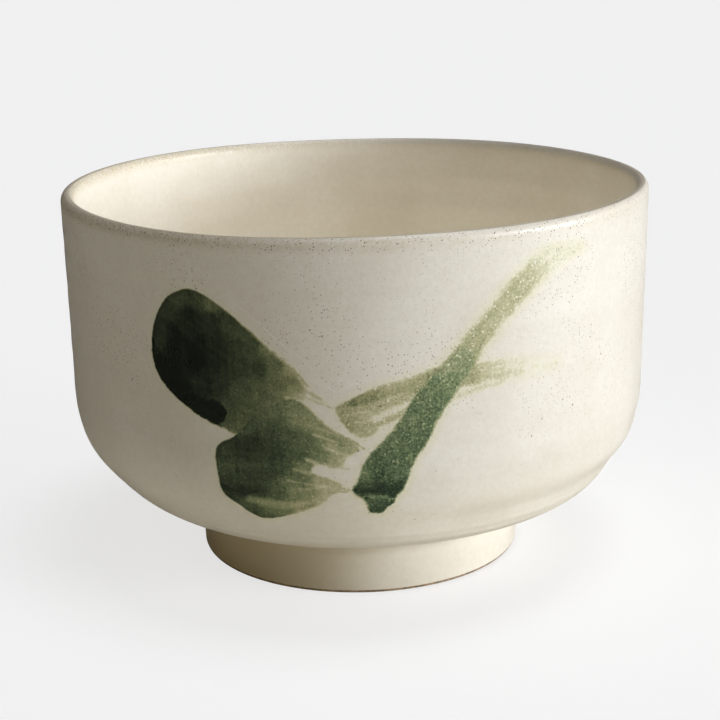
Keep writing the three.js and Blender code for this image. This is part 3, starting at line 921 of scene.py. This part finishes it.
def inked(tree, place, colour):
    """The glaze's colour under the pigment: stronger ink lets less through."""
    ink = add(tree, "Attribute", attribute_name="ink").outputs["Fac"]
    warmth = add(tree, "Attribute", attribute_name="warmth").outputs["Fac"]
    coarse = add(tree, "Attribute", attribute_name="grain").outputs["Fac"]
    room = maths(tree, "MULTIPLY", ink, maths(tree, "SUBTRACT", 1.06, ink))
    grain = maths(tree, "SUBTRACT", noise_at(tree, place, 2.4, 1.0), 0.5)
    grain = maths(tree, "MULTIPLY", grain, 2.6)
    bare = maths(tree, "MULTIPLY", specks(tree, place, **BARE_SPECKS), 0.9)
    grain = maths(tree, "MULTIPLY", maths(tree, "SUBTRACT", grain, bare), room)
    strength = maths(tree, "ADD", ink, maths(tree, "MULTIPLY", grain, coarse))
    stain = ramp(tree, strength, INK_STOPS)
    tint = mix(tree, warmth, COOL_TINT, WARM_TINT)
    stain = mix(tree, spread(tree, ink, 0.2, 0.5), stain, mix(tree, 1.0, stain, tint, "MULTIPLY"))
    return mix(tree, 1.0, colour, stain, "MULTIPLY"), ink


def make_glaze(name, speckled=True, painted=False):
    material, tree, shader, place = new_material(name)
    colour = glaze_colour(tree, place, speckled)
    gloss = spread(tree, noise_at(tree, place, 0.3, 3.0), 0.3, 0.7, 0.34, 0.46)
    if painted:
        colour, ink = inked(tree, place, colour)
        gloss = maths(tree, "SUBTRACT", gloss, maths(tree, "MULTIPLY", ink, 0.12))
    tree.links.new(colour, shader.inputs["Base Color"])
    tree.links.new(gloss, shader.inputs["Roughness"])
    bumped(tree, shader, noise_at(tree, place, 1.1, 3.0, 0.55), 0.035)
    return material


def make_clay(name):
    """Brown at the foot's standing edge, and pale at the lip."""
    material, tree, shader, place = new_material(name)
    tone = spread(tree, noise_at(tree, place, 0.9, 5.0, 0.65), 0.3, 0.7)
    colour = mix(tree, tone, CLAY_DARK, CLAY_LIGHT)
    height = add(tree, "SeparateXYZ", {0: place}).outputs[2]
    lip = spread(tree, height, LIP_CLAY_START, LIP_CLAY_FULL, 0.0, 0.85)
    colour = mix(tree, lip, colour, CLAY_PALE)
    grit = maths(tree, "MULTIPLY", specks(tree, place, **GRIT), 0.6)
    colour = mix(tree, grit, colour, IRON)
    tree.links.new(colour, shader.inputs["Base Color"])
    dull = spread(tree, noise_at(tree, place, 1.5, 3.0), 0.3, 0.7, 0.75, 0.92)
    tree.links.new(dull, shader.inputs["Roughness"])
    bumped(tree, shader, noise_at(tree, place, 2.0, 4.0, 0.7), 0.12)
    return material


# --- Studio (sizes in metres, but for the camera's place in millimetres) ----------------------------------
CAMERA_PLACE = (0, -338.15, 136.4)
CAMERA_PITCH, CAMERA_YAW, CAMERA_ROLL = (math.radians(a) for a in (16.10, 0.087, -1.045))
CAMERA_LENS = 82.7
# A tall window on the right: azimuth and height in degrees, and strength
WINDOW_LIGHTS = [(80, 2, 3.45), (60, 12, 1.0), (80, 80, 1.1)]
WINDOW_SOFTNESS = math.radians(24)
WINDOW_COLOUR = (0.98, 1.0, 1.05)
SKY_STRENGTH = 0.05
SKY_COLOUR = (1.0, 0.82, 0.70, 1)
FILL_STRENGTH = 11.0
FILL_COLOUR = (1.0, 0.95, 0.86)
FILL_CONE = math.radians(14)
FILL_BLEND = 0.6
FILL_SOURCE_RADIUS = 0.01
FILL_HEIGHT = 0.5
COVE_RADIUS = 4.0
COVE_CURVE = 1.6  # the size of the curve between the floor and the wall
COVE_DEPTH = 0.0001  # how far the floor lies under the foot
BOUNCE_SIZE = 8.0
BOUNCE_DEPTH = 0.001
FLOOR_GLOW = 2.4
FLOOR_COLOUR = (0.30, 0.30, 0.30, 1)
BOUNCE_COLOUR = (0.95, 0.905, 0.76, 1)
BOUNCE_GLOW = 0.07


def make_camera():
    camera = bpy.data.objects.new("camera", bpy.data.cameras.new("camera"))
    camera.data.lens = CAMERA_LENS
    camera.data.clip_start = 0.01
    turn = Matrix.Rotation(-CAMERA_YAW, 4, "Z") @ Matrix.Rotation(math.pi / 2 - CAMERA_PITCH, 4, "X")
    turn = turn @ Matrix.Rotation(CAMERA_ROLL, 4, "Z")
    camera.matrix_world = Matrix.Translation([c * MM for c in CAMERA_PLACE]) @ turn
    bpy.context.scene.collection.objects.link(camera)
    bpy.context.scene.camera = camera


def studio_material(name, colour, glow):
    material = bpy.data.materials.new(name)
    material.use_nodes = True
    shader = material.node_tree.nodes["Principled BSDF"]
    shader.inputs["Base Color"].default_value = colour
    shader.inputs["Roughness"].default_value = 1.0
    shader.inputs["Specular IOR Level"].default_value = 0.0
    shader.inputs["Emission Color"].default_value = colour
    shader.inputs["Emission Strength"].default_value = glow
    return material


def make_stage(name, points, faces, material):
    mesh = bpy.data.meshes.new(name)
    mesh.from_pydata(points, [], faces)
    mesh.materials.append(material)
    stage = bpy.data.objects.new(name, mesh)
    bpy.context.scene.collection.objects.link(stage)
    return stage


def make_cove(material):
    """A round floor that curves up into a wall, so that low views see no edge."""
    corner = (COVE_RADIUS, 0)
    curve = bezier([(COVE_RADIUS - COVE_CURVE, 0), corner, (COVE_RADIUS, COVE_CURVE)], 32)
    outline = np.vstack([[(0, 0)], curve, [(COVE_RADIUS, COVE_RADIUS)]])
    azimuth = np.linspace(0, 2 * math.pi, SEGMENTS, endpoint=False)[None, :]
    points = to_points(azimuth, outline[:, :1], outline[:, 1:] - COVE_DEPTH).reshape(-1, 3)
    faces = [face[::-1] for face in ring_faces(len(outline), False)]
    stage = make_stage("floor", points.tolist(), faces, material)
    stage.data.polygons.foreach_set("use_smooth", [True] * len(faces))
    return stage


def make_bounce(material):
    half = BOUNCE_SIZE / 2
    square = [(-half, -half), (half, -half), (half, half), (-half, half)]
    corners = [(x, y, -BOUNCE_DEPTH) for x, y in square]
    return make_stage("bounce", corners, [(0, 1, 2, 3)], material)


def make_sun(name, azimuth, tilt, strength):
    sun = bpy.data.objects.new(name, bpy.data.lights.new(name, "SUN"))
    sun.data.energy = strength
    sun.data.angle = WINDOW_SOFTNESS
    sun.data.color = WINDOW_COLOUR
    sun.matrix_world = Matrix.Rotation(azimuth, 4, "Z") @ Matrix.Rotation(tilt, 4, "X")
    bpy.context.scene.collection.objects.link(sun)


def make_floors():
    """A floor that the camera sees, and one under it that lights the bowl from below, unseen."""
    shown = make_cove(studio_material("floor", FLOOR_COLOUR, FLOOR_GLOW))
    shown.visible_diffuse = False
    shown.visible_glossy = False
    shown.visible_shadow = False
    bounce = make_bounce(studio_material("bounce", BOUNCE_COLOUR, BOUNCE_GLOW))
    bounce.visible_camera = False
    bounce.visible_glossy = False


def make_sky():
    world = bpy.data.worlds.new("studio")
    world.use_nodes = True
    sky = world.node_tree.nodes["Background"]
    sky.inputs["Strength"].default_value = SKY_STRENGTH
    sky.inputs["Color"].default_value = SKY_COLOUR
    bpy.context.scene.world = world


def make_inside_fill():
    """Light from straight above that only falls into the bowl."""
    fill = bpy.data.objects.new("inside_fill", bpy.data.lights.new("inside_fill", "SPOT"))
    fill.data.energy = FILL_STRENGTH
    fill.data.color = FILL_COLOUR
    fill.data.spot_size = FILL_CONE
    fill.data.spot_blend = FILL_BLEND
    fill.data.shadow_soft_size = FILL_SOURCE_RADIUS
    fill.location = (0, 0, FILL_HEIGHT)
    bpy.context.scene.collection.objects.link(fill)


def make_studio():
    make_floors()
    make_sky()
    for i, (azimuth, height, strength) in enumerate(WINDOW_LIGHTS):
        make_sun(f"window_{i}", math.radians(azimuth), math.radians(90 - height), strength)
    make_inside_fill()
    bpy.context.scene.view_settings.view_transform = "Standard"


make_camera()
make_studio()
glaze = make_glaze("speckled_glaze")
plain_glaze = make_glaze("plain_glaze", speckled=False)
brushed = make_glaze("brushed_glaze", painted=True)
clay = make_clay("bare_clay")
make_clay_body(clay)
make_foot_ring(clay)
make_outer_glaze(glaze)
make_inner_glaze(plain_glaze)
make_foot_well_glaze(plain_glaze)
make_brushwork(brushed)
